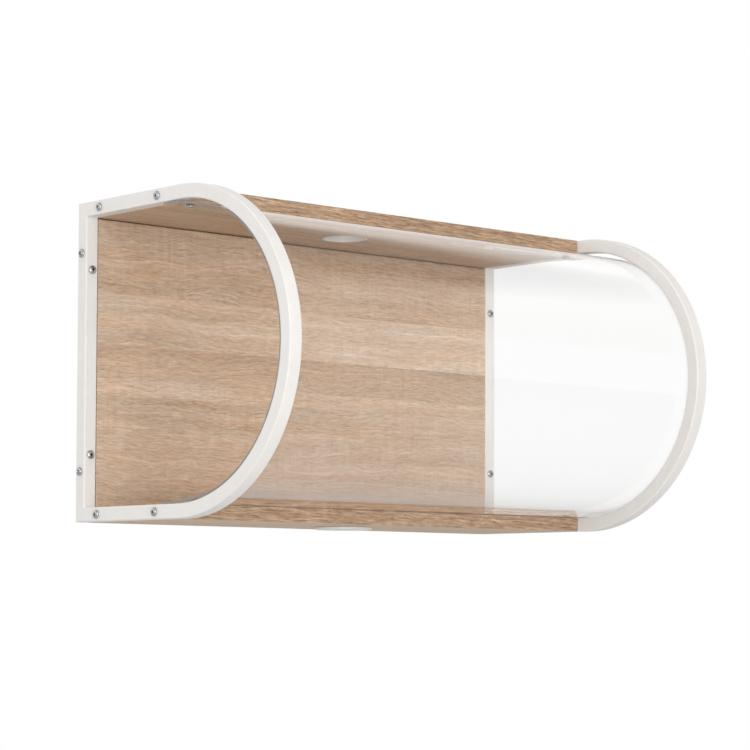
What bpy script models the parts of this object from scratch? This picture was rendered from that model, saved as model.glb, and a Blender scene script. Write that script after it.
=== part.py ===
"""Wall-mounted cat walkway: two D-shaped steel end frames, three oak boards and a bent clear sheet.

Metres, +Z up. The origin is on the wall, at the middle of the walkway's length and height.
+X runs along the wall, +Y into it, so the walkway stands out towards -Y.
"""
import math

import bmesh
import bpy
from mathutils import Matrix, Vector

# Overall sizes
FRAME_LENGTH = 0.595          # over both end frames, along the wall
FRAME_HEIGHT = 0.335          # the front of each end frame is half a circle of this diameter
BOARD_DEPTH = 0.168           # top and bottom board, from the wall to the banded front edge
BEND_BEYOND_BOARD = 0.0145    # straight tube in front of the boards before the bend starts
SEAT_GAP = 0.0003             # between faces that touch on the real walkway
CUT_OVERRUN = 0.002           # how far every cutter runs past the face that it opens
BEND_STEPS = 36               # flats round the half circle

# Square tube of the end frames; the boards and the panel are as thick as it is wide
TUBE_WIDTH = 0.015
TUBE_WALL = 0.0012
TUBE_CORNER_RADIUS = 0.0014
TUBE_CORNER_STEPS = 2
MITRE_BLOCK_WIDTHS = 4        # size of the block that cuts a mitre, in tube widths

# Boards and back panel
BOARD_END_GAP = 0.0006        # between a board's end and the tube beside it
PANEL_TOP_GAP = 0.0012        # the shadow line between the back panel and the top board
BOARD_EDGE_BREAK = 0.0004     # chamfer on every board edge
BAND_THICKNESS = 0.001        # edge band on the front edges
BAND_EDGE_ROUND = 0.0004

# Bent clear sheet inside the end frames
SHEET_THICKNESS = 0.002
SHEET_LAP = 0.020             # how far its flat legs reach back over the boards
SHEET_END_INSET = 0.001       # from the outer face of each end frame

# Screws
HEAD_RADIUS = 0.0045
HEAD_HEIGHT = 0.0028
HEAD_EDGE = 0.001             # straight rim of the pan head
RECESS_LENGTH = 0.0046        # cross recess in every head
RECESS_WIDTH = 0.0011
RECESS_DEPTH = 0.0017
SCREW_TIP = 0.004             # length of the pointed end
SCREW_CLEARANCE = 0.0003      # round every shank
SCREW_END_ROOM = 0.001        # beyond the tip in a blind hole
SCREW_SIDES = 12
BOARD_SCREW_RADIUS = 0.002
BOARD_SCREW_LENGTH = 0.045
WALL_SCREW_RADIUS = 0.00225
SHEET_SCREW_RADIUS = 0.00175
SHEET_SCREW_LENGTH = 0.014

# Places of the screws
BOARD_SCREW_FROM_WALL = 0.038     # rear screw of each board end
BOARD_SCREW_FROM_FRONT = 0.030    # front screw of each board end, from the banded edge
PANEL_SCREW_FROM_EDGE = 0.053     # panel end screws, from the frame's top and bottom
WALL_SCREW_FROM_EDGE = 0.0705     # wall screws, from the frame's top and bottom
SHEET_SCREW_FROM_END = 0.0255     # sheet screws, from the outer face of the end frame
SHEET_SCREW_FROM_FRONT = 0.008    # sheet screws, from the banded edge

# Round hole fittings in the middle of the top and bottom boards
SLEEVE_RADIUS = 0.025
SLEEVE_WALL = 0.002
FLANGE_RADIUS = 0.031
FLANGE_HEIGHT = 0.003
FLANGE_ROUND = 0.001
LID_SEAT_DEPTH = 0.002
LID_SEAT_MARGIN = 0.0003          # the lid's seat is this much wider than the sleeve
LID_CLEARANCE = 0.0003
LID_SKIRT_LENGTH = 0.008
LID_SKIRT_WALL = 0.0015
SLEEVE_CLEARANCE = 0.0003
FITTING_SIDES = 32

# Derived from the sizes above
HALF_LENGTH = FRAME_LENGTH / 2
HALF_HEIGHT = FRAME_HEIGHT / 2
HALF_TUBE = TUBE_WIDTH / 2
BEND_CENTRE_Y = -(BOARD_DEPTH + BEND_BEYOND_BOARD)
INNER_HALF_HEIGHT = HALF_HEIGHT - TUBE_WIDTH
BOARD_HALF_LENGTH = HALF_LENGTH - TUBE_WIDTH - BOARD_END_GAP
CORE_FRONT_Y = -(BOARD_DEPTH - BAND_THICKNESS - SEAT_GAP)
WALL_SCREW_LENGTH = TUBE_WIDTH - SEAT_GAP    # as far as the wall, which holds the rest of the screw
SIDES = {"left": -1, "right": 1}
LEVELS = {"top": 1, "bottom": -1}


def empty_scene():
    """Removes every object, and makes the collections for the parts and for the cutters."""
    for old in list(bpy.data.objects):
        bpy.data.objects.remove(old, do_unlink=True)
    for name in ("cat_walkway", "cutters"):
        collection = bpy.data.collections.get(name) or bpy.data.collections.new(name)
        if name not in bpy.context.scene.collection.children:
            bpy.context.scene.collection.children.link(collection)
    return bpy.data.collections["cat_walkway"], bpy.data.collections["cutters"]


PARTS, CUTTERS = empty_scene()


def finish(name, colour, roughness, metallic=0.0, clear=0.0):
    """A Principled material; clear is the share of light that passes through."""
    material = bpy.data.materials.new(name)
    material.use_nodes = True
    shader = material.node_tree.nodes["Principled BSDF"]
    shader.inputs["Base Color"].default_value = (*colour, 1.0)
    shader.inputs["Roughness"].default_value = roughness
    shader.inputs["Metallic"].default_value = metallic
    shader.inputs["Transmission Weight"].default_value = clear
    return material


WHITE_POWDER_COAT = finish("white_powder_coat", (0.80, 0.79, 0.77), 0.45)
OAK_LAMINATE = finish("oak_laminate", (0.55, 0.37, 0.23), 0.55)
OAK_EDGE_BAND = finish("oak_edge_band", (0.42, 0.27, 0.16), 0.55)
CLEAR_ACRYLIC = finish("clear_acrylic", (0.97, 0.98, 0.98), 0.03, clear=1.0)
ZINC_STEEL = finish("zinc_steel", (0.62, 0.63, 0.64), 0.30, metallic=1.0)
WHITE_PLASTIC = finish("white_plastic", (0.84, 0.83, 0.81), 0.40)


def add_part(name, mesh, material):
    """Puts a mesh into the parts collection as a node with one material."""
    part = bpy.data.objects.new(name, mesh)
    PARTS.objects.link(part)
    mesh.materials.clear()
    mesh.materials.append(material)
    return part


def add_cutter(name, mesh):
    """Puts a closed mesh into the cutters collection, hidden from renders."""
    cutter = bpy.data.objects.new(name, mesh)
    cutter.hide_render = True
    cutter.display_type = "WIRE"
    CUTTERS.objects.link(cutter)
    return cutter


def mesh_of(name, bm):
    """Writes a bmesh into a new mesh."""
    mesh = bpy.data.meshes.new(name)
    bm.to_mesh(mesh)
    bm.free()
    return mesh


def block_mesh(name, low, high):
    """A cube primitive stretched from one corner to the other."""
    bm = bmesh.new()
    bmesh.ops.create_cube(bm, size=1.0)
    size = [h - l for l, h in zip(low, high)]
    centre = [(h + l) / 2 for l, h in zip(low, high)]
    bmesh.ops.transform(bm, verts=bm.verts, matrix=Matrix.Translation(centre) @ Matrix.Diagonal((*size, 1.0)))
    return mesh_of(name, bm)


def drill(part, holes):
    """Cuts round holes: each is a start point, an end point and a radius."""
    bm = bmesh.new()
    for start, end, radius in holes:
        along = Vector(end) - Vector(start)
        turn = along.to_track_quat("Z", "Y").to_matrix().to_4x4()
        middle = (Vector(start) + Vector(end)) / 2
        bmesh.ops.create_cone(bm, cap_ends=True, segments=SCREW_SIDES, radius1=radius, radius2=radius,
                              depth=along.length, matrix=Matrix.Translation(middle) @ turn)
    cut(part, add_cutter(part.name + "_holes", mesh_of(part.name + "_holes", bm)))


def cut(part, cutter):
    """Takes a cutter out of a part with a Boolean modifier."""
    modifier = part.modifiers.new(cutter.name, "BOOLEAN")
    modifier.operation = "DIFFERENCE"
    modifier.solver = "EXACT"
    modifier.object = cutter


def break_edges(part, width, segments=1):
    """Chamfers or rounds the sharp edges with a Bevel modifier."""
    bevel = part.modifiers.new("edges", "BEVEL")
    bevel.width = width
    bevel.segments = segments
    bevel.limit_method = "ANGLE"
    bevel.angle_limit = math.radians(60)


def evaluated_copy(source, name):
    """The mesh that an object's modifiers or curve settings give, with its doubles merged."""
    graph = bpy.context.evaluated_depsgraph_get()
    mesh = bpy.data.meshes.new_from_object(source.evaluated_get(graph))
    mesh.name = name
    bm = bmesh.new()
    bm.from_mesh(mesh)
    bmesh.ops.remove_doubles(bm, verts=bm.verts, dist=SEAT_GAP / 10)
    bm.to_mesh(mesh)
    bm.free()
    return mesh


# Fastening places, as the tubes, boards and screws all use them

BOARD_SCREW_YS = (-BOARD_SCREW_FROM_WALL, -(BOARD_DEPTH - BOARD_SCREW_FROM_FRONT))
BOARD_SCREW_Z = HALF_HEIGHT - HALF_TUBE
PANEL_SCREW_Z = HALF_HEIGHT - PANEL_SCREW_FROM_EDGE
WALL_SCREW_Z = HALF_HEIGHT - WALL_SCREW_FROM_EDGE
POST_X = HALF_LENGTH - HALF_TUBE
SHEET_SCREW_X = HALF_LENGTH - SHEET_SCREW_FROM_END
SHEET_SCREW_Y = -(BOARD_DEPTH - SHEET_SCREW_FROM_FRONT)
SHEET_OUTER_RADIUS = INNER_HALF_HEIGHT - SEAT_GAP
SHEET_INNER_RADIUS = SHEET_OUTER_RADIUS - SHEET_THICKNESS


def end_screw_places(side, level):
    """The two screws that hold one end of the top or bottom board."""
    return [(side * HALF_LENGTH, y, level * BOARD_SCREW_Z) for y in BOARD_SCREW_YS]


def panel_screw_places(side):
    """The two screws that hold one end of the back panel."""
    return [(side * HALF_LENGTH, -HALF_TUBE, level * PANEL_SCREW_Z) for level in LEVELS.values()]


def wall_screw_places(side):
    """The two screws that hold one post on the wall."""
    return [(side * POST_X, -TUBE_WIDTH, level * WALL_SCREW_Z) for level in LEVELS.values()]


def sheet_screw_places(level):
    """The two screws that hold one leg of the clear sheet on its board."""
    return [(side * SHEET_SCREW_X, SHEET_SCREW_Y, level * SHEET_INNER_RADIUS) for side in SIDES.values()]


# End frames: square tube, a bent bow and an upright post, mitred and welded at the two rear corners


def rounded_square():
    """Corner arcs of the tube's section, going round once."""
    inset = HALF_TUBE - TUBE_CORNER_RADIUS
    points = []
    for quarter in range(4):
        corner = math.radians(45 + 90 * quarter)
        centre = (math.copysign(inset, math.cos(corner)), math.copysign(inset, math.sin(corner)))
        for step in range(TUBE_CORNER_STEPS + 1):
            angle = math.radians(90 * quarter + 90 * step / TUBE_CORNER_STEPS)
            points.append((centre[0] + TUBE_CORNER_RADIUS * math.cos(angle),
                           centre[1] + TUBE_CORNER_RADIUS * math.sin(angle)))
    return points


def flat_curve(name, points, cyclic):
    """A 2D poly curve through the points."""
    data = bpy.data.curves.new(name, "CURVE")
    data.dimensions = "2D"
    data.fill_mode = "NONE"
    spline = data.splines.new("POLY")
    spline.points.add(len(points) - 1)
    for point, (u, v) in zip(spline.points, points):
        point.co = (u, v, 0.0, 1.0)
    spline.use_cyclic_u = cyclic
    curve = bpy.data.objects.new(name, data)
    CUTTERS.objects.link(curve)
    return curve


def square_tube(name, route, x):
    """A hollow square tube along a route of (y, z) points, in the plane at x."""
    path = flat_curve(name + "_route", route, cyclic=False)
    section = flat_curve(name + "_section", rounded_square(), cyclic=True)
    path.data.bevel_mode = "OBJECT"
    path.data.bevel_object = section
    path.data.use_fill_caps = False
    mesh = evaluated_copy(path, name)
    into_frame = Matrix(((0, 0, 1, x), (1, 0, 0, 0), (0, 1, 0, 0), (0, 0, 0, 1)))
    mesh.transform(into_frame)
    bm = bmesh.new()
    bm.from_mesh(mesh)
    bmesh.ops.recalc_face_normals(bm, faces=bm.faces)
    bm.to_mesh(mesh)
    bm.free()
    mesh.shade_smooth()
    mesh.set_sharp_from_angle(angle=math.radians(50))
    bpy.data.objects.remove(path, do_unlink=True)
    bpy.data.objects.remove(section, do_unlink=True)
    tube = add_part(name, mesh, WHITE_POWDER_COAT)
    wall = tube.modifiers.new("wall", "SOLIDIFY")
    wall.thickness = TUBE_WALL
    wall.offset = -1.0
    wall.use_even_offset = True
    return tube


def cut_mitre(tube, x, level, keeps_post):
    """Cuts one end on the slope through the frame's rear corner, half a seat gap back from it."""
    size = TUBE_WIDTH * MITRE_BLOCK_WIDTHS
    slope = Vector((0, 1, -level)).normalized()
    corner = Vector((x, -HALF_TUBE, level * (HALF_HEIGHT - HALF_TUBE)))
    away = -slope if keeps_post else slope
    centre = corner + away * (size - SEAT_GAP) / 2
    bm = bmesh.new()
    turn = Matrix.Rotation(math.radians(45), 4, "X")
    bmesh.ops.create_cube(bm, size=size, matrix=Matrix.Translation(centre) @ turn)
    cut(tube, add_cutter("%s_mitre_%d" % (tube.name, level), mesh_of("mitre", bm)))


def bow_route():
    """The bow's centre line: back along the bottom, round the half circle and back along the top."""
    radius = HALF_HEIGHT - HALF_TUBE
    route = [(TUBE_WIDTH, -radius)]
    for step in range(BEND_STEPS + 1):
        angle = math.pi * step / BEND_STEPS
        route.append((BEND_CENTRE_Y - radius * math.sin(angle), -radius * math.cos(angle)))
    route.append((TUBE_WIDTH, radius))
    return route


for side_name, side in SIDES.items():
    frame_x = side * POST_X
    bow = square_tube(side_name + "_bow", bow_route(), frame_x)
    post_reach = HALF_HEIGHT + TUBE_WIDTH
    post = square_tube(side_name + "_post", [(-HALF_TUBE, -post_reach), (-HALF_TUBE, post_reach)], frame_x)
    for level in LEVELS.values():
        cut_mitre(bow, frame_x, level, keeps_post=False)
        cut_mitre(post, frame_x, level, keeps_post=True)
    tube_outside = side * (HALF_LENGTH + CUT_OVERRUN)
    tube_inside = side * (HALF_LENGTH - TUBE_WIDTH - CUT_OVERRUN)
    board_hole = BOARD_SCREW_RADIUS + SCREW_CLEARANCE
    wall_hole = WALL_SCREW_RADIUS + SCREW_CLEARANCE
    drill(bow, [((tube_outside, y, z), (tube_inside, y, z), board_hole)
                for level in LEVELS.values() for _, y, z in end_screw_places(side, level)])
    drill(post, [((tube_outside, y, z), (tube_inside, y, z), board_hole)
                 for _, y, z in panel_screw_places(side)]
          + [((x, y - CUT_OVERRUN, z), (x, CUT_OVERRUN, z), wall_hole)
             for x, y, z in wall_screw_places(side)])


# Boards: oak-faced chipboard between the end frames, with pilot holes for the screws


def end_pilots(places):
    """Blind holes into a board's two ends, along the length."""
    holes = []
    for x, y, z in places:
        side = math.copysign(1, x)
        tip = side * (HALF_LENGTH - BOARD_SCREW_LENGTH - SCREW_END_ROOM)
        holes.append(((side * (BOARD_HALF_LENGTH + CUT_OVERRUN), y, z), (tip, y, z),
                      BOARD_SCREW_RADIUS + SCREW_CLEARANCE))
    return holes


def sheet_pilots(level):
    """Blind holes from a board's inner face, for the screws of the clear sheet."""
    holes = []
    for x, y, z in sheet_screw_places(level):
        tip = z + level * (SHEET_SCREW_LENGTH + SCREW_END_ROOM)
        holes.append(((x, y, level * (INNER_HALF_HEIGHT - CUT_OVERRUN)), (x, y, tip),
                      SHEET_SCREW_RADIUS + SCREW_CLEARANCE))
    return holes


FITTING_Y = -BOARD_DEPTH / 2

for level_name, level in LEVELS.items():
    inner_z = level * INNER_HALF_HEIGHT
    outer_z = level * HALF_HEIGHT
    low_z, high_z = sorted((inner_z, outer_z))
    board = add_part(level_name + "_board",
                     block_mesh(level_name + "_board", (-BOARD_HALF_LENGTH, CORE_FRONT_Y, low_z),
                                (BOARD_HALF_LENGTH, 0, high_z)), OAK_LAMINATE)
    break_edges(board, BOARD_EDGE_BREAK)
    places = end_screw_places(-1, level) + end_screw_places(1, level)
    drill(board, end_pilots(places) + sheet_pilots(level))
    bore = bmesh.new()
    bore_radius = SLEEVE_RADIUS + SLEEVE_CLEARANCE
    bmesh.ops.create_cone(bore, cap_ends=True, segments=FITTING_SIDES, radius1=bore_radius,
                          radius2=bore_radius, depth=TUBE_WIDTH + 2 * CUT_OVERRUN,
                          matrix=Matrix.Translation((0, FITTING_Y, (inner_z + outer_z) / 2)))
    cut(board, add_cutter(level_name + "_bore", mesh_of(level_name + "_bore", bore)))
    band = add_part(level_name + "_edge_band",
                    block_mesh(level_name + "_edge_band", (-BOARD_HALF_LENGTH, -BOARD_DEPTH, low_z),
                               (BOARD_HALF_LENGTH, -BOARD_DEPTH + BAND_THICKNESS, high_z)), OAK_EDGE_BAND)
    break_edges(band, BAND_EDGE_ROUND, segments=2)

panel = add_part("back_panel",
                 block_mesh("back_panel", (-BOARD_HALF_LENGTH, -TUBE_WIDTH, -INNER_HALF_HEIGHT + SEAT_GAP),
                            (BOARD_HALF_LENGTH, 0, INNER_HALF_HEIGHT - PANEL_TOP_GAP)), OAK_LAMINATE)
break_edges(panel, BOARD_EDGE_BREAK)
drill(panel, end_pilots(panel_screw_places(-1) + panel_screw_places(1)))


# Clear sheet: one strip bent into a U on its side, flat legs screwed under the top board and on the bottom one


def sheet_outline():
    """Outer face of the sheet as (y, z) points, from the lower leg's rear edge to the upper one's."""
    rear = -(BOARD_DEPTH - SHEET_LAP)
    outline = [(rear, -SHEET_OUTER_RADIUS)]
    for step in range(BEND_STEPS + 1):
        angle = math.pi * step / BEND_STEPS
        outline.append((BEND_CENTRE_Y - SHEET_OUTER_RADIUS * math.sin(angle),
                        -SHEET_OUTER_RADIUS * math.cos(angle)))
    outline.append((rear, SHEET_OUTER_RADIUS))
    return outline


def clear_sheet():
    """Carries the outline along the length as an open surface, then gives it its thickness."""
    half = HALF_LENGTH - SHEET_END_INSET
    bm = bmesh.new()
    start = [bm.verts.new((-half, y, z)) for y, z in sheet_outline()]
    edges = [bm.edges.new(pair) for pair in zip(start, start[1:])]
    carried = bmesh.ops.extrude_edge_only(bm, edges=edges)["geom"]
    moved = [v for v in carried if isinstance(v, bmesh.types.BMVert)]
    bmesh.ops.translate(bm, verts=moved, vec=(2 * half, 0, 0))
    bm.normal_update()
    bm.faces.ensure_lookup_table()
    middle = bm.faces[len(bm.faces) // 2]
    if middle.normal.y > 0:
        bmesh.ops.reverse_faces(bm, faces=bm.faces)
    sheet = add_part("clear_sheet", mesh_of("clear_sheet", bm), CLEAR_ACRYLIC)
    sheet.data.shade_smooth()
    wall = sheet.modifiers.new("thickness", "SOLIDIFY")
    wall.thickness = SHEET_THICKNESS
    wall.offset = -1.0
    wall.use_even_offset = True
    holes = []
    for level in LEVELS.values():
        for x, y, z in sheet_screw_places(level):
            outside = level * (SHEET_OUTER_RADIUS + CUT_OVERRUN)
            holes.append(((x, y, z - level * CUT_OVERRUN), (x, y, outside), SHEET_SCREW_RADIUS + SCREW_CLEARANCE))
    drill(sheet, holes)


clear_sheet()


# Turned pieces: hole fittings and screws


def turned(name, profile, sides, material, closed):
    """Turns (radius, z) points round +Z with a Screw modifier; a closed profile makes a ring."""
    mesh = bpy.data.meshes.new(name)
    pairs = [(i, i + 1) for i in range(len(profile) - 1)]
    if closed:
        pairs.append((len(profile) - 1, 0))
    mesh.from_pydata([(r, 0, z) for r, z in profile], pairs, [])
    piece = add_part(name, mesh, material)
    lathe = piece.modifiers.new("lathe", "SCREW")
    lathe.axis = "Z"
    lathe.steps = sides
    lathe.render_steps = sides
    lathe.use_merge_vertices = True
    lathe.merge_threshold = SEAT_GAP / 10
    lathe.use_smooth_shade = False
    return piece


def sleeve_profile():
    """Flanged sleeve, z from the board's outer face: flange above, sleeve down to the inner face."""
    inner = SLEEVE_RADIUS - SLEEVE_WALL
    seat = SLEEVE_RADIUS + LID_SEAT_MARGIN
    ledge = FLANGE_HEIGHT - LID_SEAT_DEPTH
    return [(seat, FLANGE_HEIGHT), (FLANGE_RADIUS - FLANGE_ROUND, FLANGE_HEIGHT),
            (FLANGE_RADIUS, FLANGE_HEIGHT - FLANGE_ROUND), (FLANGE_RADIUS, SEAT_GAP),
            (SLEEVE_RADIUS, SEAT_GAP), (SLEEVE_RADIUS, -TUBE_WIDTH), (inner, -TUBE_WIDTH),
            (inner, ledge), (seat, ledge)]


def lid_profile():
    """Snap-in lid: a disc flush with the flange, and a skirt inside the sleeve."""
    rim = SLEEVE_RADIUS + LID_SEAT_MARGIN - LID_CLEARANCE
    under = FLANGE_HEIGHT - LID_SEAT_DEPTH + SEAT_GAP
    skirt = SLEEVE_RADIUS - SLEEVE_WALL - LID_CLEARANCE
    return [(0, FLANGE_HEIGHT), (rim, FLANGE_HEIGHT), (rim, under), (skirt, under),
            (skirt, under - LID_SKIRT_LENGTH), (skirt - LID_SKIRT_WALL, under - LID_SKIRT_LENGTH),
            (skirt - LID_SKIRT_WALL, under), (0, under)]


for level_name, level in LEVELS.items():
    place = Matrix.Translation((0, FITTING_Y, level * HALF_HEIGHT))
    turn = Matrix.Rotation(0 if level > 0 else math.pi, 4, "X")
    for kind, profile, closed in (("hole_sleeve", sleeve_profile(), True), ("hole_lid", lid_profile(), False)):
        fitting = turned("%s_%s" % (level_name, kind), profile, FITTING_SIDES, WHITE_PLASTIC, closed)
        fitting.matrix_world = place @ turn


def screw_mesh(name, radius, length, tip):
    """Pan-head screw along +Z, head up, with z = 0 on the face that it clamps; a tip of 0 ends it flat."""
    head_top = SEAT_GAP + HEAD_HEIGHT
    dome = HEAD_HEIGHT - HEAD_EDGE
    profile = [(0, head_top)]
    for step in (1, 2, 3):
        angle = math.radians(30 * step)
        profile.append((HEAD_RADIUS * math.sin(angle), SEAT_GAP + HEAD_EDGE + dome * math.cos(angle)))
    profile += [(HEAD_RADIUS, SEAT_GAP), (radius, SEAT_GAP), (radius, -length + tip), (0, -length)]
    screw = turned(name, profile, SCREW_SIDES, ZINC_STEEL, closed=False)
    cross = bmesh.new()
    for turn in (0, 90):
        size = Matrix.Diagonal((RECESS_LENGTH, RECESS_WIDTH, 2 * RECESS_DEPTH, 1.0))
        bmesh.ops.create_cube(cross, size=1.0, matrix=Matrix.Translation((0, 0, head_top))
                              @ Matrix.Rotation(math.radians(turn), 4, "Z") @ size)
    cutter = add_cutter(name + "_recess", mesh_of(name + "_recess", cross))
    cut(screw, cutter)
    screw.modifiers[cutter.name].use_self = True
    mesh = evaluated_copy(screw, name)
    mesh.shade_smooth()
    mesh.set_sharp_from_angle(angle=math.radians(40))
    bpy.data.objects.remove(screw, do_unlink=True)
    bpy.data.objects.remove(cutter, do_unlink=True)
    return mesh


def place_screw(name, mesh, place, head_way):
    """One screw as its own node, its head turned to point along head_way."""
    screw = add_part(name, mesh, ZINC_STEEL)
    turn = Vector(head_way).to_track_quat("Z", "Y").to_matrix().to_4x4()
    screw.matrix_world = Matrix.Translation(place) @ turn


BOARD_SCREW = screw_mesh("board_screw", BOARD_SCREW_RADIUS, BOARD_SCREW_LENGTH, SCREW_TIP)
WALL_SCREW = screw_mesh("wall_screw", WALL_SCREW_RADIUS, WALL_SCREW_LENGTH, 0)
SHEET_SCREW = screw_mesh("sheet_screw", SHEET_SCREW_RADIUS, SHEET_SCREW_LENGTH, SCREW_TIP)

for side_name, side in SIDES.items():
    for level_name, level in LEVELS.items():
        for row_name, place in zip(("rear", "front"), end_screw_places(side, level)):
            place_screw("%s_%s_board_screw_%s" % (side_name, level_name, row_name), BOARD_SCREW, place, (side, 0, 0))
    for level_name, place in zip(LEVELS, panel_screw_places(side)):
        place_screw("%s_panel_screw_%s" % (side_name, level_name), BOARD_SCREW, place, (side, 0, 0))
    for level_name, place in zip(LEVELS, wall_screw_places(side)):
        place_screw("%s_wall_screw_%s" % (side_name, level_name), WALL_SCREW, place, (0, -1, 0))

for level_name, level in LEVELS.items():
    for side_name, place in zip(SIDES, sheet_screw_places(level)):
        place_screw("%s_sheet_screw_%s" % (level_name, side_name), SHEET_SCREW, place, (0, 0, -level))
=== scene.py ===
"""Looks of the wall-mounted cat walkway: finished pieces and materials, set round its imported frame.

Metres. x runs along the wall, y into it and z up; the origin is on the wall, at mid length and mid height.
"""

import bpy
import numpy as np
from mathutils import Matrix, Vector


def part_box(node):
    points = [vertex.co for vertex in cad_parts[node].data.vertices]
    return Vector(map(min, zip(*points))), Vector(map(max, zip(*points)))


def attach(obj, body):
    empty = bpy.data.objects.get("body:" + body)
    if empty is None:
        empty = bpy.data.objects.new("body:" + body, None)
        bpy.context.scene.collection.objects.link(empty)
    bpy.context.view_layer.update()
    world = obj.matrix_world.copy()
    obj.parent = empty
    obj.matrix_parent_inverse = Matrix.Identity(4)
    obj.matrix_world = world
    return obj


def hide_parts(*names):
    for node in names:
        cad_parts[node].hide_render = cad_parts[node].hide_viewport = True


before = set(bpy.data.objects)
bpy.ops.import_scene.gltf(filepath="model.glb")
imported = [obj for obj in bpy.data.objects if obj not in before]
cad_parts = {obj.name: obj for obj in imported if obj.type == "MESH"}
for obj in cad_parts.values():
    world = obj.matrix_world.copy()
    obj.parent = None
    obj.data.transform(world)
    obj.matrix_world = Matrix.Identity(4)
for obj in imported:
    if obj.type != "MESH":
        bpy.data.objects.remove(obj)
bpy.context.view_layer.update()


# End frames. Each is one closed D of 15 mm square steel tube, bent cold round the front and mitred to an
# upright rear post. The two welds are ground flush, and the frame is powder-coated satin white as one piece.

tube_width = 0.015
tube_corner_radius = 0.0014
tube_corner_steps = 8
flat_margin = 0.0005
bend_steps = 120
bend_start_y = -0.175


def grid_faces(rows, columns, wrap_rows=True):
    """Quads of a grid of points numbered row by row; each row is a ring, and the last may join the first."""
    row, column = np.meshgrid(np.arange(rows if wrap_rows else rows - 1), np.arange(columns), indexing="ij")
    row, column = row.ravel(), column.ravel()
    next_row, next_column = (row + 1) % rows, (column + 1) % columns
    return np.stack([row * columns + column, row * columns + next_column,
                     next_row * columns + next_column, next_row * columns + column], axis=1).tolist()


def finished_piece(name, points, faces, sharp_degrees=35):
    """A mesh object at the origin, shaded smooth but for its edges sharper than the given angle."""
    mesh = bpy.data.meshes.new(name)
    mesh.from_pydata(points.tolist(), [], faces)
    mesh.shade_smooth()
    mesh.set_sharp_from_angle(angle=np.radians(sharp_degrees))
    piece = bpy.data.objects.new(name, mesh)
    bpy.context.scene.collection.objects.link(piece)
    return piece


def tube_section(width, radius, steps, margin):
    """Offsets (outward, sideways) that go once round a square with rounded corners.

    Corner q runs through the angles 90 q to 90 q + 90 degrees on a circle about its centre, and a point a
    small margin before and after each arc keeps the flats flat when they are shaded.
    """
    corner = np.arange(4)[:, None] * 90.0
    turn = np.radians(corner + np.linspace(0, 90, steps + 1))
    middle = np.radians(corner + 45)
    inset = width / 2 - radius
    out = inset * np.sign(np.cos(middle)) + radius * np.cos(turn)
    side = inset * np.sign(np.sin(middle)) + radius * np.sin(turn)
    first, last = turn[:, :1], turn[:, -1:]
    out = np.hstack([out[:, :1] + margin * np.sin(first), out, out[:, -1:] - margin * np.sin(last)])
    side = np.hstack([side[:, :1] - margin * np.cos(first), side, side[:, -1:] + margin * np.cos(last)])
    return out.ravel(), side.ravel()


def d_route(half_height, reach, bend_y, post_y, steps):
    """Centre line (y, z) of the D and its outward direction, from the lower rear corner round to the upper.

    The bend is (bend_y - reach sin a, -h cos a) for a from 0 to 180 degrees, with a reach a little more than
    the half height h, and its outward direction is (-h sin a, -reach cos a) scaled to 1. At a mitred corner
    that direction is the sum of those of its two sides, so the offset lines meet on the mitre.
    """
    a = np.linspace(0, np.pi, steps + 1)
    y = np.concatenate([[post_y], bend_y - reach * np.sin(a), [post_y]])
    z = np.concatenate([[-half_height], -half_height * np.cos(a), [half_height]])
    scale = np.hypot(half_height * np.sin(a), reach * np.cos(a))
    out_y = np.concatenate([[1.0], -half_height * np.sin(a) / scale, [1.0]])
    out_z = np.concatenate([[-1.0], -reach * np.cos(a) / scale, [1.0]])
    return y, z, out_y, out_z


def d_frame(name, bow):
    """The tube's section carried round the D route in the bow's plane: route + out * outward + side * x."""
    low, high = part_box(bow)
    y, z, out_y, out_z = d_route(high.z - tube_width / 2, bend_start_y - low.y - tube_width / 2, bend_start_y,
                                 -tube_width / 2, bend_steps)
    out, side = tube_section(tube_width, tube_corner_radius, tube_corner_steps, flat_margin)
    points = np.stack([(low.x + high.x) / 2 + np.broadcast_to(side, (len(y), len(side))),
                       y[:, None] + out_y[:, None] * out,
                       z[:, None] + out_z[:, None] * out], axis=-1).reshape(-1, 3)
    return finished_piece(name, points, grid_faces(len(y), len(out)))


def new_material(name):
    """An empty node material; gives it, its node tree, its surface socket and the place on the piece."""
    material = bpy.data.materials.new(name)
    material.use_nodes = True
    tree = material.node_tree
    tree.nodes.clear()
    surface = tree.nodes.new("ShaderNodeOutputMaterial").inputs["Surface"]
    place = tree.nodes.new("ShaderNodeTexCoord").outputs["Object"]
    return material, tree, surface, place


def add_node(tree, kind, *inputs, **settings):
    """Adds a shader node with its settings; each input in turn is linked if a socket, or set if a value."""
    node = tree.nodes.new(kind)
    for key, value in settings.items():
        setattr(node, key, value)
    for socket, value in zip(node.inputs, inputs):
        if isinstance(value, bpy.types.NodeSocket):
            tree.links.new(value, socket)
        elif value is not None:
            socket.default_value = value
    return node


def arithmetic(tree, operation, *values):
    """One step of arithmetic on sockets and numbers."""
    return add_node(tree, "ShaderNodeMath", *values, operation=operation).outputs[0]


def noise(tree, place, scale, detail, roughness, distortion=0.0):
    """Noise of about 0 to 1, with about as many features to the metre as its scale says."""
    return add_node(tree, "ShaderNodeTexNoise", place, None, scale, detail, roughness, None, None, None,
                    distortion).outputs[0]


def relief(tree, height, strength, depth):
    """Normals of a relief whose height runs over the depth in metres."""
    return add_node(tree, "ShaderNodeBump", strength, depth, None, height).outputs[0]


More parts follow.
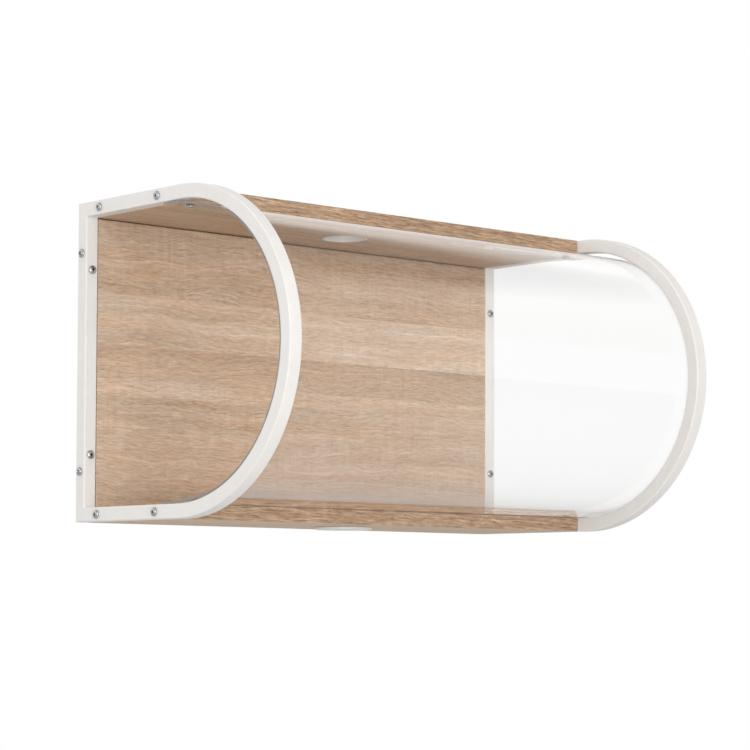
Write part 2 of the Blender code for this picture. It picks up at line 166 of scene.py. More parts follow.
def principled(tree, surface, **values):
    """A Principled shader on the surface socket; each name, with _ for a space, gives one of its inputs."""
    shader = tree.nodes.new("ShaderNodeBsdfPrincipled")
    for key, value in values.items():
        socket = shader.inputs[key.replace("_", " ")]
        if isinstance(value, bpy.types.NodeSocket):
            tree.links.new(value, socket)
        else:
            socket.default_value = value
    tree.links.new(shader.outputs[0], surface)
    return shader


def colour_ramp(tree, share, stops):
    """Turns a share from 0 to 1 into a colour between rising stops, each a place and a linear colour."""
    node = add_node(tree, "ShaderNodeValToRGB", share)
    elements = node.color_ramp.elements
    for element, (place, colour) in zip(elements, (stops[0], stops[-1])):
        element.position, element.color = place, (*colour, 1)
    for place, colour in stops[1:-1]:
        elements.new(place).color = (*colour, 1)
    return node.outputs["Color"]


def powder_coat():
    """Satin white powder: a faint mottle of tone, gloss a little uneven, orange peel about 1 mm wide."""
    material, tree, surface, place = new_material("satin_white_powder_coat")
    mottle = noise(tree, place, scale=45.0, detail=3.0, roughness=0.6)
    peel = noise(tree, place, scale=850.0, detail=2.0, roughness=0.5)
    colour = colour_ramp(tree, mottle, [(0.25, (0.815, 0.800, 0.775)), (0.75, (0.850, 0.836, 0.812))])
    gloss = arithmetic(tree, "MULTIPLY_ADD", mottle, 0.14, 0.33)
    normal = relief(tree, peel, strength=0.35, depth=0.00004)
    principled(tree, surface, Base_Color=colour, Roughness=gloss, Normal=normal)
    return material


white_powder = powder_coat()
for side_name in ("left", "right"):
    d_piece = d_frame(side_name + "_end_frame", side_name + "_bow")
    d_piece.data.materials.append(white_powder)
    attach(d_piece, "root")
    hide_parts(side_name + "_bow", side_name + "_post")


# Boards. The back panel and the top and bottom boards are 15 mm chipboard between printed oak faces: fine
# pale fibres, soft growth rings, faint saw marks across the grain, and strips of different tone side by side.
# The top board's strips are set darker, as painted shade on its underside inside the walkway, and the bottom
# board's lighter, as painted light on its lit underside.

board_face_thickness = 0.0006
chips_per_metre = 420.0
pale_oak_tones = [(0.04, (0.345, 0.225, 0.142)), (0.30, (0.500, 0.355, 0.243)), (0.50, (0.600, 0.447, 0.325)),
                  (0.72, (0.710, 0.562, 0.436)), (1.00, (0.830, 0.705, 0.585))]
last_plank_end = 0.2
longest_shift = 3.0
panel_planks = [(-0.1522, 0.52, 0.10), (-0.0920, 0.50, 0.55), (-0.0330, 0.56, 0.25), (-0.0170, 0.46, 0.80),
                (0.0210, 0.60, 0.40), (0.0740, 0.44, 0.65)]
# Painted shade and light: the top board's tones sit below the panel's and the bottom board's above them, on
# one oak print.
top_planks_with_painted_shade = [(-0.1700, 0.41, 0.35), (-0.1060, 0.47, 0.70), (-0.0550, 0.43, 0.15)]
bottom_planks_with_painted_light = [(-0.1700, 0.66, 0.85), (-0.1060, 0.60, 0.30), (-0.0550, 0.64, 0.60)]


def map_range(tree, value, low, high, least=0.0, most=1.0, kind="LINEAR"):
    """Turns a value's way from low to high into least to most, straight or smoothed, and level outside."""
    return add_node(tree, "ShaderNodeMapRange", value, low, high, least, most,
                    interpolation_type=kind).outputs[0]


def fibre_noise(tree, along, across, length, width, seed, detail):
    """Noise of about 0 to 1 whose features are length by width metres, along and across the grain."""
    u = arithmetic(tree, "DIVIDE", along, length)
    v = arithmetic(tree, "DIVIDE", across, width)
    where = add_node(tree, "ShaderNodeCombineXYZ", u, v, seed).outputs[0]
    return noise(tree, where, scale=1.0, detail=detail, roughness=0.55)


def blend_of(tree, base, *parts):
    """base plus each part's weight times its socket less the part's middle."""
    total = base
    for weight, socket, middle in parts:
        shifted = arithmetic(tree, "SUBTRACT", socket, middle)
        total = arithmetic(tree, "MULTIPLY_ADD", shifted, weight, total)
    return total


def plank_steps(tree, across, planks):
    """Tone and shift along the grain of the plank that a place across the board is in, from a stepped ramp.

    Each plank is (first edge in metres across the board, tone, share of the longest shift).
    """
    low, high = planks[0][0], last_plank_end
    share = map_range(tree, across, low, high)
    steps = colour_ramp(tree, share, [((edge - low) / (high - low), (tone, shift, 0.0))
                                      for edge, tone, shift in planks])
    steps.node.color_ramp.interpolation = "CONSTANT"
    tone, shift, _ = add_node(tree, "ShaderNodeSeparateColor", steps).outputs
    return tone, shift


def printed_oak(node, across_axis, thick_axis, planks, seed):
    """Printed oak with its grain along x, and bare chipboard where a cut edge shows between the two faces.

    The grain's own coordinate is the distance across the board bent by three noises: a slow sway, the slopes
    of the figure, and a wrinkle. Growth bands, pale lines and fibres are noises of x and that coordinate, far
    longer than wide. The saw marks are noises that are longer across the grain than along it.
    """
    material, tree, surface, place = new_material("printed_oak_" + node)
    axes = add_node(tree, "ShaderNodeSeparateXYZ", place).outputs
    across, through = axes[across_axis], axes[thick_axis]
    plank_tone, shift = plank_steps(tree, across, planks)
    along = arithmetic(tree, "MULTIPLY_ADD", shift, longest_shift, axes["X"])
    sway = fibre_noise(tree, along, across, length=0.24, width=0.10, seed=seed, detail=1.0)
    slope = fibre_noise(tree, along, across, length=0.065, width=0.050, seed=seed + 2, detail=1.0)
    wrinkle = fibre_noise(tree, along, across, length=0.016, width=0.0055, seed=seed + 5, detail=1.0)
    grain = blend_of(tree, across, (0.030, sway, 0.5), (0.013, slope, 0.5), (0.0015, wrinkle, 0.5))
    growth = fibre_noise(tree, along, grain, length=0.34, width=0.0125, seed=seed + 11, detail=3.0)
    growth_line = fibre_noise(tree, along, grain, length=0.13, width=0.0026, seed=seed + 12, detail=1.0)
    pale_line = map_range(tree, growth_line, 0.55, 0.68)
    fibre = fibre_noise(tree, along, grain, length=0.0120, width=0.00125, seed=seed + 17, detail=1.0)
    fine_fibre = fibre_noise(tree, along, grain, length=0.0060, width=0.00060, seed=seed + 19, detail=1.0)
    pore_noise = fibre_noise(tree, along, grain, length=0.010, width=0.0007, seed=seed + 23, detail=0.0)
    pore = map_range(tree, pore_noise, 0.66, 0.74)
    patches = fibre_noise(tree, along, across, length=0.12, width=0.045, seed=seed + 13, detail=1.0)
    hue = fibre_noise(tree, along, grain, length=0.14, width=0.014, seed=seed + 15, detail=2.0)
    saw = fibre_noise(tree, axes["X"], across, length=0.0040, width=0.06, seed=seed + 29, detail=1.0)
    sawn = arithmetic(tree, "MULTIPLY", arithmetic(tree, "SUBTRACT", saw, 0.5),
                      map_range(tree, patches, 0.46, 0.62, least=0.15))
    tone = blend_of(tree, plank_tone, (0.52, growth, 0.5), (0.13, pale_line, 0.25), (0.66, fibre, 0.5),
                    (0.42, fine_fibre, 0.5), (0.26, patches, 0.5), (-0.14, pore, 0.0), (0.24, sawn, 0.0))
    warmth = colour_ramp(tree, hue, [(0.30, (1.035, 0.985, 0.945)), (0.70, (0.975, 1.010, 1.045))])
    print_colour = add_node(tree, "ShaderNodeMixRGB", 1.0, colour_ramp(tree, tone, pale_oak_tones), warmth,
                            blend_type="MULTIPLY").outputs[0]
    chips = add_node(tree, "ShaderNodeTexVoronoi", place, None, chips_per_metre).outputs["Color"]
    chip_tone = add_node(tree, "ShaderNodeSeparateColor", chips).outputs[0]
    chip_colour = colour_ramp(tree, chip_tone, [(0.0, (0.30, 0.19, 0.11)), (1.0, (0.60, 0.45, 0.30))])
    low, high = (corner["XYZ".index(thick_axis)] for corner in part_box(node))
    inside = arithmetic(tree, "MULTIPLY",
                        arithmetic(tree, "GREATER_THAN", through, low + board_face_thickness),
                        arithmetic(tree, "LESS_THAN", through, high - board_face_thickness))
    colour = add_node(tree, "ShaderNodeMixRGB", inside, print_colour, chip_colour).outputs[0]
    gloss = blend_of(tree, 0.52, (-0.25, fibre, 0.5), (0.10, inside, 0.0))
    height = blend_of(tree, 0.5, (0.9, fibre, 0.5), (-0.6, pore, 0.0), (0.5, sawn, 0.0))
    normal = relief(tree, height, strength=0.25, depth=0.00010)
    principled(tree, surface, Base_Color=colour, Roughness=gloss, Specular_IOR_Level=0.2, Normal=normal)
    return material


def cover(node, material):
    """Gives a CAD node its material in every slot."""
    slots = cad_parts[node].data.materials
    slots.clear()
    slots.append(material)


for node, across_axis, thick_axis, planks, seed in (
        ("back_panel", "Z", "Y", panel_planks, 0.37),
        ("top_board", "Y", "Z", top_planks_with_painted_shade, 1.91),
        ("bottom_board", "Y", "Z", bottom_planks_with_painted_light, 3.13)):
    cover(node, printed_oak(node, across_axis, thick_axis, planks, seed))


# Edge bands. A 1 mm band with a coarser, darker oak print is glued on the front edge of the top and of the
# bottom board, and its corners are scraped round.

band_oak_tones = [(0.08, (0.200, 0.112, 0.060)), (0.42, (0.430, 0.275, 0.170)), (0.66, (0.580, 0.400, 0.260)),
                  (0.98, (0.800, 0.620, 0.440))]
streak_slant = 0.030


def edge_band_oak():
    """Coarse oak print for a 15 mm edge: slanting light and dark streaks and short flecks, all noises."""
    material, tree, surface, place = new_material("coarse_oak_edge_band")
    axes = add_node(tree, "ShaderNodeSeparateXYZ", place).outputs
    along, across = axes["X"], axes["Z"]
    slanted = arithmetic(tree, "MULTIPLY_ADD", along, streak_slant, across)
    wave = fibre_noise(tree, along, across, length=0.05, width=0.02, seed=5.0, detail=1.0)
    wrinkle = fibre_noise(tree, along, across, length=0.012, width=0.005, seed=7.0, detail=1.0)
    bent = blend_of(tree, slanted, (0.0035, wave, 0.5), (0.0012, wrinkle, 0.5))
    line = fibre_noise(tree, along, bent, length=0.060, width=0.0022, seed=9.0, detail=2.0)
    streak = fibre_noise(tree, along, bent, length=0.018, width=0.0015, seed=11.0, detail=2.0)
    fleck_noise = fibre_noise(tree, along, bent, length=0.011, width=0.0011, seed=13.0, detail=1.0)
    fleck = map_range(tree, fleck_noise, 0.58, 0.72)
    fibre = fibre_noise(tree, along, bent, length=0.005, width=0.0007, seed=17.0, detail=2.0)
    broad = fibre_noise(tree, along, across, length=0.10, width=0.03, seed=21.0, detail=1.0)
    tone = blend_of(tree, 0.49, (0.90, line, 0.5), (1.20, streak, 0.5), (-0.30, fleck, 0.0),
                    (0.50, fibre, 0.5), (0.25, broad, 0.5))
    colour = colour_ramp(tree, tone, band_oak_tones)
    gloss = blend_of(tree, 0.50, (0.30, streak, 0.5))
    height = blend_of(tree, 0.5, (0.9, streak, 0.5), (-0.5, fleck, 0.0))
    normal = relief(tree, height, strength=0.45, depth=0.00015)
    principled(tree, surface, Base_Color=colour, Roughness=gloss, Normal=normal)
    return material


band_oak = edge_band_oak()
for node in ("top_edge_band", "bottom_edge_band"):
    cover(node, band_oak)


# Hole fittings. A stock 50 mm fitting of satin white plastic sits in the middle of the top and of the bottom
# board: a flanged sleeve pressed in from outside, and a lid snapped into it flush with the flange.
# Heights are measured outwards from the board's outer face.

flange_radius = 0.0310
flange_height = 0.0030
flange_seat = 0.0003
sleeve_radius = 0.0250
sleeve_bore_radius = 0.0230
sleeve_foot = -0.0150
lid_seat_radius = 0.0253
lid_seat_height = 0.0010
lid_radius = 0.0250
lid_underside = 0.0013
skirt_radius = 0.0227
skirt_bore_radius = 0.0212
skirt_foot = -0.0067
fitting_sides = 96
fitting_corner_steps = 4
least_spacing = 1e-7


def rounding_curve(first, corner, last, steps):
    """(1 - t)^2 A + 2 t (1 - t) C + t^2 B for t from 0 to 1, from first A past corner C to last B.

    It leaves A towards C and comes to B from C. Rows of points give a stack of such curves.
    """
    t = np.linspace(0, 1, steps).reshape(-1, *[1] * np.ndim(corner))
    return (1 - t) ** 2 * first + 2 * t * (1 - t) * corner + t ** 2 * last


def rounded_outline(corners):
    """Rounds a closed outline, given as (radius, height, rounding) for each corner.

    Each corner becomes a rounding curve between the points one rounding short of it on either side; a
    rounding of 0 keeps it as one point.
    """
    corners, roundings = np.split(np.array(corners, float), [2], axis=1)
    before = np.roll(corners, 1, axis=0) - corners
    after = np.roll(corners, -1, axis=0) - corners
    before /= np.linalg.norm(before, axis=1, keepdims=True)
    after /= np.linalg.norm(after, axis=1, keepdims=True)
    arcs = rounding_curve(corners + before * roundings, corners, corners + after * roundings,
                          fitting_corner_steps + 1)
    points = arcs.transpose(1, 0, 2).reshape(-1, 2)
    return points[np.linalg.norm(points - np.roll(points, 1, axis=0), axis=1) > least_spacing]


def turned_grid(outline, sides):
    """Turns an outline of (radius, height) clockwise about the height axis: (r cos a, r sin a, height)."""
    a = -np.arange(sides) * 2 * np.pi / sides
    r, h = outline[:, :1], outline[:, 1:]
    return np.stack([r * np.cos(a), r * np.sin(a), np.broadcast_to(h, (len(h), sides))], axis=-1)


def close_poles(grid, first_height, last_height):
    """Points and faces of a turned grid with a point on the axis and a fan of triangles at each open end."""
    rows, sides = grid.shape[:2]
    column = np.arange(sides)
    following = (column + 1) % sides
    last_row = (rows - 1) * sides
    first_fan = np.stack([np.full(sides, rows * sides), following, column], axis=1)
    last_fan = np.stack([np.full(sides, rows * sides + 1), last_row + column, last_row + following], axis=1)
    points = np.vstack([grid.reshape(-1, 3), [(0, 0, first_height), (0, 0, last_height)]])
    return points, grid_faces(rows, sides, wrap_rows=False) + first_fan.tolist() + last_fan.tolist()


def satin_plastic():
    """Moulded white plastic: an even fine spark texture and a faint drift of tone and gloss."""
    material, tree, surface, place = new_material("satin_white_plastic")
    drift = noise(tree, place, scale=60.0, detail=2.0, roughness=0.5)
    spark = noise(tree, place, scale=2600.0, detail=1.0, roughness=0.5)
    colour = colour_ramp(tree, drift, [(0.2, (0.800, 0.790, 0.775)), (0.8, (0.850, 0.842, 0.830))])
    gloss = arithmetic(tree, "MULTIPLY_ADD", drift, 0.10, 0.34)
    normal = relief(tree, spark, strength=0.25, depth=0.00003)
    principled(tree, surface, Base_Color=colour, Roughness=gloss, Normal=normal)
    return material


white_plastic = satin_plastic()
sleeve_outline = rounded_outline([
    (lid_seat_radius, flange_height, 0.0003), (flange_radius, flange_height, 0.0010),
    (flange_radius, flange_seat, 0.0002), (sleeve_radius, flange_seat, 0.0),
    (sleeve_radius, sleeve_foot, 0.0003), (sleeve_bore_radius, sleeve_foot, 0.0005),
    (sleeve_bore_radius, lid_seat_height, 0.0002), (lid_seat_radius, lid_seat_height, 0.0)])
lid_outline = rounded_outline([
    (0.0, flange_height, 0.0), (lid_radius, flange_height, 0.0004), (lid_radius, lid_underside, 0.0001),
    (skirt_radius, lid_underside, 0.0), (skirt_radius, skirt_foot, 0.0003),
    (skirt_bore_radius, skirt_foot, 0.0003), (skirt_bore_radius, lid_underside, 0.0004),
    (0.0, lid_underside, 0.0)])
lid_outline = lid_outline[lid_outline[:, 0] > 0]
for level_name, level in (("top", 1), ("bottom", -1)):
    low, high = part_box(level_name + "_board")
    outer_z = high.z if level > 0 else low.z
    middle_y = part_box(level_name + "_edge_band")[0].y / 2
    for kind, outline in (("sleeve", sleeve_outline), ("lid", lid_outline)):
        grid = turned_grid(outline, fitting_sides)
        if kind == "sleeve":
            points, faces = grid.reshape(-1, 3), grid_faces(len(outline), fitting_sides)
        else:
            points, faces = close_poles(grid, flange_height, lid_underside)
        points = points * (1, level, level) + (0, middle_y, outer_z)
        fitting = finished_piece("%s_fitting_%s" % (level_name, kind), points, faces)
        fitting.data.materials.append(white_plastic)
        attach(fitting, "root")
        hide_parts("%s_hole_%s" % (level_name, kind))


# Clear sheet. One strip of 2 mm clear acrylic, 593 mm long, is bent into a U that lies on its side inside
# the end frames. Its two flat legs are screwed to the boards, and in front of them it cuts the corner to
# the bend.

sheet_low, sheet_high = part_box("clear_sheet")
sheet_thickness = 0.002
sheet_edge_round = 0.0004
sheet_edge_rings = ((0.0, 1.0), (0.3, 0.3), (1.0, 0.0), (2.0, 0.0))
sheet_crease_y = -0.168
sheet_crease_round = 0.005
sheet_top_slope = 0.19
sheet_bottom_slope = 0.12
sheet_seat_degrees = 38.0
crease_steps = 40
seat_steps = 80
nose_steps = 200
sheet_steps = 240
hole_radius = 0.00205
hole_reach = 0.004
hole_sides = 32
hole_edge_degrees = 15
end_face_share = 0.9


def half_sheet_line(slope):
    """Outer line (y, z) of the sheet's upper half, from the leg's rear edge to the nose.

    The leg is flat below the board, creased over its front edge, and runs straight down the slope until it
    seats in the end frames' bend (bend_start_y - reach sin a, leg_z cos a) at the seat's angle.
    """
    leg_z, reach = sheet_high.z, bend_start_y - sheet_low.y
    seat = np.radians(sheet_seat_degrees)
    seat_point = np.array([bend_start_y - reach * np.sin(seat), leg_z * np.cos(seat)])
    seat_slope = leg_z / reach * np.tan(seat)
    run = (leg_z - seat_point[1] - seat_slope * (sheet_crease_y - seat_point[0])) / (slope - seat_slope)
    corner = np.array([sheet_crease_y - run, leg_z - slope * run])
    before = corner + (np.linalg.norm(seat_point - corner) / np.hypot(1, slope)) * np.array([1, slope])
    crease = np.array([sheet_crease_y, leg_z])
    crease_start = crease + (sheet_crease_round, 0)
    crease_end = crease - sheet_crease_round * np.array([1, slope])
    a = np.linspace(seat, np.pi / 2, nose_steps)
    bend = np.stack([bend_start_y - reach * np.sin(a), leg_z * np.cos(a)], axis=-1)
    return np.vstack([[(sheet_high.y, leg_z)], rounding_curve(crease_start, crease, crease_end, crease_steps),
                      rounding_curve(before, corner, seat_point, seat_steps), bend[1:]])


def sheet_lines(inset):
    """Outer and inner line (y, z) of the sheet's section, drawn in from every edge by the inset.

    The two halves, the lower one mirrored and less steep because the sheet sags, are stepped off evenly from
    the lower leg's rear edge to the upper one's. The inner line lies one thickness inside.
    """
    lower = half_sheet_line(sheet_bottom_slope) * (1, -1)
    whole = np.vstack([lower, half_sheet_line(sheet_top_slope)[-2::-1]])
    way = np.concatenate([[0], np.cumsum(np.linalg.norm(np.diff(whole, axis=0), axis=1))])
    steps = np.linspace(inset, way[-1] - inset, sheet_steps + 1)
    line = np.stack([np.interp(steps, way, whole[:, 0]), np.interp(steps, way, whole[:, 1])], axis=-1)
    along = np.gradient(line, axis=0)
    inward = np.stack([along[:, 1], -along[:, 0]], axis=-1) / np.linalg.norm(along, axis=1, keepdims=True)
    return line + inward * inset, line + inward * (sheet_thickness - inset)


def bent_sheet(name):
    """A ring of section points, outer line out and inner line back, carried along x, with rounded ends.

    Each end has rings at (way in from the end, inset of the section), both in edge roundings. The ring just
    past the rounding keeps the shading of the long faces true.
    """
    rings = []
    for end, edge_rings in ((1, sheet_edge_rings), (-1, sheet_edge_rings[::-1])):
        for way_in, inset in edge_rings:
            outer, inner = sheet_lines(inset * sheet_edge_round)
            section = np.vstack([outer, inner[::-1]])
            x = end * (sheet_high.x - way_in * sheet_edge_round)
            rings.append(np.column_stack([np.full(len(section), x), section]))
    count = len(rings[0])
    i = np.arange(count // 2 - 1)
    cap = np.stack([i, count - 1 - i, count - 2 - i, i + 1], axis=1)
    far_cap = cap[:, ::-1] + (len(rings) - 1) * count
    faces = grid_faces(len(rings), count, wrap_rows=False) + cap.tolist() + far_cap.tolist()
    return finished_piece(name, np.vstack(rings), faces, sharp_degrees=30)


def drill_piece(piece, centres):
    """Drills upright holes, as (r cos a, r sin a) round each centre, with one Boolean applied at once."""
    k = np.arange(hole_sides)
    a = k * 2 * np.pi / hole_sides
    circle = np.stack([hole_radius * np.cos(a), hole_radius * np.sin(a), np.zeros(hole_sides)], axis=-1)
    bit = np.vstack([circle - (0, 0, hole_reach), circle + (0, 0, hole_reach)])
    walls = np.stack([k, (k + 1) % hole_sides, (k + 1) % hole_sides + hole_sides, k + hole_sides], axis=1)
    faces = []
    for start in np.arange(len(centres)) * len(bit):
        faces += (walls + start).tolist() + [(k[::-1] + start).tolist(), (k + hole_sides + start).tolist()]
    drill = finished_piece("drill", np.concatenate([bit + centre for centre in centres]), faces)
    holes = piece.modifiers.new("holes", "BOOLEAN")
    holes.operation, holes.solver, holes.object = "DIFFERENCE", "EXACT", drill
    graph = bpy.context.evaluated_depsgraph_get()
    drilled = bpy.data.meshes.new_from_object(piece.evaluated_get(graph))
    drilled.set_sharp_from_angle(angle=np.radians(hole_edge_degrees))
    piece.modifiers.clear()
    piece.data = drilled
    bpy.data.objects.remove(drill, do_unlink=True)


def box_middle(node):
    """Middle of a CAD node's box."""
    low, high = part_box(node)
    return (low + high) / 2


def clear_acrylic():
    """Water-clear acrylic: polish a little uneven, and the slow waviness that warm bending leaves.

    Lamps shine through it: a shadow ray meets a transparent shader in place of the solid one.
    """
    material, tree, surface, place = new_material("bent_clear_acrylic")
    haze = noise(tree, place, scale=22.0, detail=3.0, roughness=0.6)
    sway = noise(tree, place, scale=9.0, detail=0.0, roughness=0.5)
    gloss = arithmetic(tree, "MULTIPLY", haze, 0.020)
    normal = relief(tree, sway, strength=1.0, depth=0.00004)
    shader = principled(tree, surface, Base_Color=(0.995, 0.998, 0.998, 1), Roughness=gloss, IOR=1.49,
                        Transmission_Weight=1.0, Normal=normal)
    let_through = add_node(tree, "ShaderNodeBsdfTransparent", (0.95, 0.95, 0.95, 1))
    path = add_node(tree, "ShaderNodeLightPath")
    mixed = add_node(tree, "ShaderNodeMixShader", path.outputs["Is Shadow Ray"], shader.outputs[0],
                     let_through.outputs[0])
    tree.links.new(mixed.outputs[0], surface)
    return material


def sawn_acrylic_edge():
    """Sawn and scraped end of the sheet: a dull grey face with fine marks."""
    material, tree, surface, place = new_material("sawn_acrylic_edge")
    marks = noise(tree, place, scale=1400.0, detail=2.0, roughness=0.6)
    colour = colour_ramp(tree, marks, [(0.3, (0.30, 0.28, 0.26)), (0.7, (0.44, 0.42, 0.40))])
    normal = relief(tree, marks, strength=0.5, depth=0.00005)
    principled(tree, surface, Base_Color=colour, Roughness=0.5, IOR=1.49, Transmission_Weight=0.25,
               Normal=normal)
    return material


acrylic = bent_sheet("bent_acrylic_sheet")
hole_centres = []
for side_name in ("left", "right"):
    for level_name, level in (("bottom", -1), ("top", 1)):
        hole = box_middle("%s_sheet_screw_%s" % (level_name, side_name))
        hole_centres.append((hole.x, hole.y, level * (sheet_high.z - sheet_thickness / 2)))
drill_piece(acrylic, hole_centres)
acrylic.data.materials.clear()
acrylic.data.materials.append(clear_acrylic())
acrylic.data.materials.append(sawn_acrylic_edge())
face_ways = np.empty(len(acrylic.data.polygons) * 3)
acrylic.data.polygons.foreach_get("normal", face_ways)
is_end_face = np.abs(face_ways.reshape(-1, 3)[:, 0]) > end_face_share
acrylic.data.polygons.foreach_set("material_index", is_end_face.astype(np.int32))
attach(acrylic, "root")
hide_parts("clear_sheet")


# Screws. Bright zinc-plated steel with pan heads 9 mm across and a cross recess: 45 mm ones through the tubes
# into the boards and the panel, 14 mm ones through the clear sheet, and thicker ones through the posts, which
# end where the wall begins.

board_screw = {"shank_radius": 0.0020, "length": 0.045, "pitch": 0.0018, "tip": 0.006}
wall_screw = {"shank_radius": 0.00225, "length": 0.0147, "pitch": 0.0020, "tip": 0.0}
sheet_screw = {"shank_radius": 0.00175, "length": 0.014, "pitch": 0.0015, "tip": 0.006}
head_radius = 0.0045
head_edge = 0.0010
head_dome = 0.0018
head_seat = 0.0003
rim_shares = np.array([1.0, 1.0, 0.985, 0.96])
rim_heights = np.array([head_edge - 0.0002, 0.00018, 0.00004, 0.0])
dome_degrees = np.linspace(2.5, 90, 34)
recess_length = 0.0046
recess_width = 0.0011
recess_depth = 0.0017
recess_wall = 0.00015
recess_floor_rise = 0.0010
plain_shank = 0.0010
thread_run_in = 0.001
thread_share = 0.30
thread_rows = 8
tip_share = 0.03
screw_columns = 56
# Painted shade: the near-black colour that stands in for the shade inside the cross recess.
recess_painted_shade = (0.06, 0.06, 0.065, 1)
recess_turns = iter(np.radians([12, 58, 33, 81, 20, 65, 47, 5, 74, 28,
                                52, 16, 37, 70, 9, 61, 24, 43, 77, 55]))


def cross_recess(x, y):
    """Depth of the cross recess: two bars with steep walls whose floor rises towards the arms' ends."""
    def bar(p, q):
        wall = np.clip((recess_width / 2 - np.abs(q)) / recess_wall + 0.5, 0, 1)
        floor = np.clip((recess_length / 2 - np.abs(p)) / recess_floor_rise, 0, 1)
        return wall * floor

    return recess_depth * np.maximum(bar(x, y), bar(y, x))


def screw_surface(turn, shank_radius, length, pitch, tip):
    """Points of a pan-head wood screw with its head up +z and the clamped face at z = 0.

    The dome is (R sin b, edge + dome cos b), less the recess; below it come the rim, the seat and the shank,
    whose radius is the thread's crest less a share of it times the square of sin(pi z / pitch - a / 2),
    drawn in towards the tip. Beside the points it gives how deep each lies in the recess, from 0 to 1.
    """
    a = -np.arange(screw_columns) * 2 * np.pi / screw_columns
    b = np.radians(dome_degrees)
    dome_r, dome_z = head_radius * np.sin(b), head_seat + head_edge + head_dome * np.cos(b)
    shank_z = np.append(np.arange(head_seat, -length, -pitch / thread_rows), -length)
    taper = np.clip((length + shank_z) / tip, tip_share, 1) if tip else np.ones(len(shank_z))
    thread = np.clip((-shank_z - plain_shank) / thread_run_in, 0, 1)
    groove = thread_share * shank_radius * np.sin(np.pi * shank_z[:, None] / pitch - a / 2) ** 2
    shank_r = (shank_radius - groove * thread[:, None]) * taper[:, None]
    head_r = np.concatenate([dome_r, rim_shares * head_radius])
    r = np.vstack([np.repeat(head_r[:, None], screw_columns, axis=1), shank_r])
    z = np.concatenate([dome_z, head_seat + rim_heights, shank_z])[:, None] * np.ones(screw_columns)
    sunk = np.zeros_like(z)
    dome = slice(0, len(dome_r))
    sunk[dome] = cross_recess(r[dome] * np.cos(a - turn), r[dome] * np.sin(a - turn))
    # The depth share also serves the zinc material as the mask of its painted shade in the recess.
    return np.stack([r * np.cos(a), r * np.sin(a), z - sunk], axis=-1), sunk.ravel() / recess_depth


def zinc_steel():
    """Bright zinc plating: bluish grey metal with cloudy gloss and fine scratches, and painted shade that
    darkens the cross recess by its depth.
    """
    material, tree, surface, place = new_material("bright_zinc")
    cloud = noise(tree, place, scale=420.0, detail=3.0, roughness=0.6)
    scratch = noise(tree, place, scale=3500.0, detail=2.0, roughness=0.6, distortion=1.5)
    bright = colour_ramp(tree, cloud, [(0.25, (0.44, 0.455, 0.47)), (0.75, (0.64, 0.65, 0.66))])
    sunk = add_node(tree, "ShaderNodeAttribute", attribute_name="sunk").outputs["Fac"]
    # Painted shade: the recess is mixed towards near black by its depth, standing in for the shade inside it.
    colour = add_node(tree, "ShaderNodeMixRGB", sunk, bright, recess_painted_shade).outputs[0]
    gloss = arithmetic(tree, "MULTIPLY_ADD", cloud, 0.22, 0.14)
    normal = relief(tree, scratch, strength=0.20, depth=0.00002)
    principled(tree, surface, Base_Color=colour, Metallic=1.0, Roughness=gloss, Normal=normal)
    return material


def place_screw(node, size, seat, head_way, turn):
    """Builds one screw on its CAD node's axis and lets it stand for that node.

    Its +z is turned to head_way, which is along one axis, and the face that it clamps lies at seat there.
    """
    grid, sunk = screw_surface(turn, **size)
    recess_bottom = head_seat + head_edge + head_dome - recess_depth
    points, faces = close_poles(grid, recess_bottom, -size["length"])
    way = np.array(head_way, float)
    place = np.where(way == 0, np.array(box_middle(node)), seat)
    side = np.cross((0, 0, 1) if way[2] == 0 else (0, 1, 0), way)
    axes = np.stack([side, np.cross(way, side), way])
    screw = finished_piece(node + "_zinc", points @ axes + place, faces, sharp_degrees=40)
    depths = screw.data.attributes.new("sunk", "FLOAT", "POINT").data
    depths.foreach_set("value", np.append(sunk, (1.0, 0.0)))
    screw.data.materials.append(zinc)
    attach(screw, "root")
    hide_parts(node)


zinc = zinc_steel()
for side_name, side_sign in (("left", -1), ("right", 1)):
    bow_low, bow_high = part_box(side_name + "_bow")
    outer_x = bow_high.x if side_sign > 0 else bow_low.x
    post_front_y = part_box(side_name + "_post")[0].y
    for level_name, level in (("top", 1), ("bottom", -1)):
        for node in ("%s_%s_board_screw_rear" % (side_name, level_name),
                     "%s_%s_board_screw_front" % (side_name, level_name),
                     "%s_panel_screw_%s" % (side_name, level_name)):
            place_screw(node, board_screw, outer_x, (side_sign, 0, 0), next(recess_turns))
        place_screw("%s_wall_screw_%s" % (side_name, level_name), wall_screw, post_front_y, (0, -1, 0),
                    next(recess_turns))
        place_screw("%s_sheet_screw_%s" % (level_name, side_name), sheet_screw,
                    level * (sheet_high.z - sheet_thickness), (0, 0, -level), next(recess_turns))


# Studio. A plain pale floor well below the walkway, a surround that is white behind, a little dimmer in front
# and dim overhead, and two large soft lamps, one to the left in front and one overhead, which the clear sheet
# doesn't mirror. The camera stands where the photograph's did, a little below the walkway and to its left.

floor_z = -1.30
floor_radius = 12.0
floor_sides = 96
white = (1.0, 1.0, 1.0)
sky_edge = 0.645
dim_sky = 0.710
lamp_target = (0.0, -0.15, 0.0)
camera_place = (-1.8361, -2.2060, -0.2541)
camera_yaw = 0.72555
camera_pitch = 0.06105
camera_roll = 0.00331
camera_shift_up = 0.1
sensor_width = 36.0
picture_width = 750
focal_pixels = 2559.3


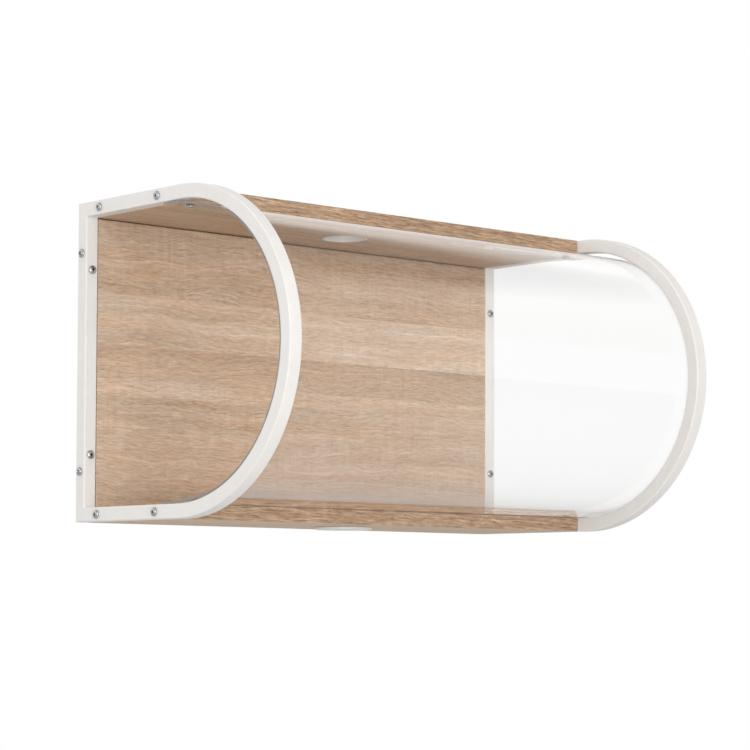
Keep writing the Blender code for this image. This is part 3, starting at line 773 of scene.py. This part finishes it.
def pale_floor():
    """Matt off-white floor paint with a faint drift of tone."""
    material, tree, surface, place = new_material("pale_floor")
    drift = noise(tree, place, scale=1.5, detail=3.0, roughness=0.5)
    colour = colour_ramp(tree, drift, [(0.2, (0.75, 0.75, 0.75)), (0.8, (0.78, 0.78, 0.78))])
    principled(tree, surface, Base_Color=colour, Roughness=0.8)
    return material


around = np.arange(floor_sides) * 2 * np.pi / floor_sides
floor_points = np.stack([floor_radius * np.cos(around), floor_radius * np.sin(around),
                         np.full(floor_sides, floor_z)], axis=-1)
floor = finished_piece("pale_floor", floor_points, [list(range(floor_sides))])
floor.data.materials.append(pale_floor())

world = bpy.data.worlds.new("graded_surround")
world.use_nodes = True
tree = world.node_tree
towards = add_node(tree, "ShaderNodeTexCoord").outputs["Generated"]
directions = add_node(tree, "ShaderNodeSeparateXYZ", towards).outputs
behind = map_range(tree, directions["Y"], -0.60, 0.20, kind="SMOOTHSTEP")
level_light = colour_ramp(tree, behind, [(0.0, (0.80, 0.78, 0.76)), (1.0, white)])
left_sky = colour_ramp(tree, directions["Z"], [(sky_edge, white), (dim_sky, (0.50, 0.49, 0.48))])
right_sky = colour_ramp(tree, directions["Z"], [
    (0.26, white), (0.33, (0.88, 0.79, 0.75)), (0.46, (0.91, 0.83, 0.79)), (0.60, (1.0, 0.96, 0.92)),
    (sky_edge, (1.0, 0.96, 0.92)), (dim_sky, (0.22, 0.20, 0.19))])
right_side = map_range(tree, directions["X"], 0.25, 0.50, kind="SMOOTHSTEP")
sky = add_node(tree, "ShaderNodeMixRGB", right_side, left_sky, right_sky).outputs[0]
shade = add_node(tree, "ShaderNodeMixRGB", 1.0, level_light, sky, blend_type="MULTIPLY").outputs[0]
tree.links.new(shade, tree.nodes["Background"].inputs["Color"])
world.cycles.sampling_method = "NONE"
bpy.context.scene.world = world
bpy.context.scene.view_settings.view_transform = "Standard"


def look_rotation(yaw, pitch, roll):
    """Axes (right, up, back) of a view along (sin yaw cos pitch, cos yaw cos pitch, sin pitch), rolled."""
    ahead = np.array([np.sin(yaw) * np.cos(pitch), np.cos(yaw) * np.cos(pitch), np.sin(pitch)])
    right = np.array([np.cos(yaw), -np.sin(yaw), 0.0])
    up = np.cross(right, ahead)
    return np.stack([right * np.cos(roll) + up * np.sin(roll), up * np.cos(roll) - right * np.sin(roll),
                     -ahead])


def stand(name, data, place, axes):
    """Links a lamp or the camera at a place with its three axes."""
    thing = bpy.data.objects.new(name, data)
    thing.matrix_world = Matrix.Translation(place) @ Matrix(axes.T.tolist()).to_4x4()
    bpy.context.scene.collection.objects.link(thing)
    return thing


for lamp_name, lamp_size, lamp_power, lamp_place, mirrored in (
        ("front_lamp", 1.8, 48.0, (-1.7, -3.1, -0.1), True),
        ("top_lamp", 1.2, 12.0, (-0.4, -0.5, 2.3), False)):
    lamp = bpy.data.lights.new(lamp_name, "AREA")
    lamp.shape, lamp.size, lamp.energy = "SQUARE", lamp_size, lamp_power
    aim = np.subtract(lamp_target, lamp_place)
    yaw, pitch = np.arctan2(aim[0], aim[1]), np.arctan2(aim[2], np.hypot(aim[0], aim[1]))
    lamp_stand = stand(lamp_name, lamp, lamp_place, look_rotation(yaw, pitch, 0.0))
    lamp_stand.visible_glossy = lamp_stand.visible_transmission = mirrored

camera = bpy.data.cameras.new("camera")
camera.sensor_width = sensor_width
camera.lens = sensor_width * focal_pixels / picture_width
camera.shift_y = camera_shift_up
bpy.context.scene.camera = stand("camera", camera, camera_place,
                                 look_rotation(camera_yaw, camera_pitch, camera_roll))
